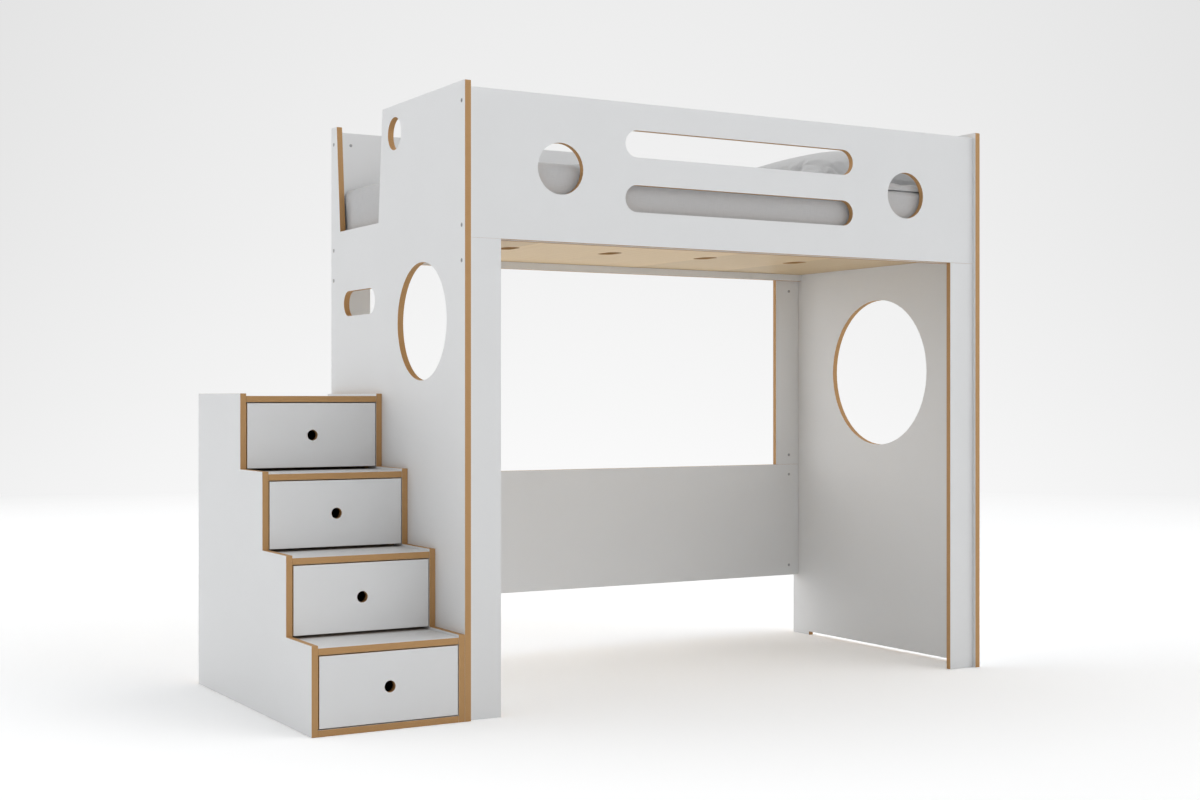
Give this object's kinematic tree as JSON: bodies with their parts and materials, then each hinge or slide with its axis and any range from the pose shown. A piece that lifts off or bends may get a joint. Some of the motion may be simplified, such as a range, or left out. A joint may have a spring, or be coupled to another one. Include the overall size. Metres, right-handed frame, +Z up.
{
  "type": "loft bed with storage stairs",
  "caption": "Loft bed of white-faced plywood boards bolted together, with a deck, bedding, cut-outs, and a stepped carcass whose drawers are the stairs.",
  "frame": {"origin": "middle of the bounding box's foot, on the floor under bed and stairs together", "axes": "+X along the bed, away from the stairs; -Y to the open front, where the steps begin and the drawers pull out; +Z up"},
  "size_m": [2.4134, 1.032, 1.83],
  "materials": {
    "white_laminate": "white laminate on plywood, satin, with clear-finished layered edges",
    "birch_plywood": "clear matt",
    "steel": "zinc plated",
    "mattress_cover": "fitted cotton sheet",
    "bed_linen": "plain woven cotton"
  },
  "bodies": {
    "frame": {"left_end_panel": "white_laminate", "right_end_panel": "white_laminate", "front_guard": "white_laminate", "back_guard": "white_laminate", "front_left_leg": "white_laminate", "front_right_leg": "white_laminate", "back_left_post": "white_laminate", "back_right_post": "white_laminate", "back_lower_panel": "white_laminate", "front_ledger_rail": "white_laminate", "back_ledger_rail": "white_laminate", "deck_board_1": "birch_plywood", "deck_board_2": "birch_plywood", "deck_board_3": "birch_plywood", "deck_board_4": "birch_plywood", "deck_board_5": "birch_plywood", "mattress": "mattress_cover", "duvet": "bed_linen", "pillow": "bed_linen", "front_guard_bolt_left_upper": "steel", "front_guard_bolt_left_lower": "steel", "front_guard_bolt_right_upper": "steel", "front_guard_bolt_right_lower": "steel", "back_guard_bolt_left_upper": "steel", "back_guard_bolt_left_lower": "steel", "front_left_leg_bolt_left_upper": "steel", "front_right_leg_bolt_right_upper": "steel", "back_left_post_bolt_left_upper": "steel", "back_right_post_bolt_right_upper": "steel", "back_right_post_bolt_right_lower": "steel", "back_lower_panel_bolt_right_upper": "steel", "back_lower_panel_bolt_right_lower": "steel", "stair_left_side": "white_laminate", "stair_right_side": "white_laminate", "stair_base": "white_laminate", "stair_tread_1": "white_laminate", "stair_tread_2": "white_laminate", "stair_tread_3": "white_laminate", "stair_tread_4": "white_laminate", "stair_back_panel": "white_laminate", "drawer_1_left_strip": "birch_plywood", "drawer_1_right_strip": "birch_plywood", "drawer_2_left_strip": "birch_plywood", "drawer_2_right_strip": "birch_plywood", "drawer_3_left_strip": "birch_plywood", "drawer_3_right_strip": "birch_plywood", "drawer_4_left_strip": "birch_plywood", "drawer_4_right_strip": "birch_plywood"},
    "drawer_1": {"drawer_1_front": "white_laminate", "drawer_1_box": "birch_plywood", "drawer_1_floor": "birch_plywood"},
    "drawer_2": {"drawer_2_front": "white_laminate", "drawer_2_box": "birch_plywood", "drawer_2_floor": "birch_plywood"},
    "drawer_3": {"drawer_3_front": "white_laminate", "drawer_3_box": "birch_plywood", "drawer_3_floor": "birch_plywood"},
    "drawer_4": {"drawer_4_front": "white_laminate", "drawer_4_box": "birch_plywood", "drawer_4_floor": "birch_plywood"}
  },
  "joints": [
    {"name": "drawer_1_slide", "type": "slide", "parent": "frame", "child": "drawer_1", "axis": [0, -1, 0], "range_m": [0, 0.69]},
    {"name": "drawer_2_slide", "type": "slide", "parent": "frame", "child": "drawer_2", "axis": [0, -1, 0], "range_m": [0, 0.55]},
    {"name": "drawer_3_slide", "type": "slide", "parent": "frame", "child": "drawer_3", "axis": [0, -1, 0], "range_m": [0, 0.41]},
    {"name": "drawer_4_slide", "type": "slide", "parent": "frame", "child": "drawer_4", "axis": [0, -1, 0], "range_m": [0, 0.27]}
  ]
}
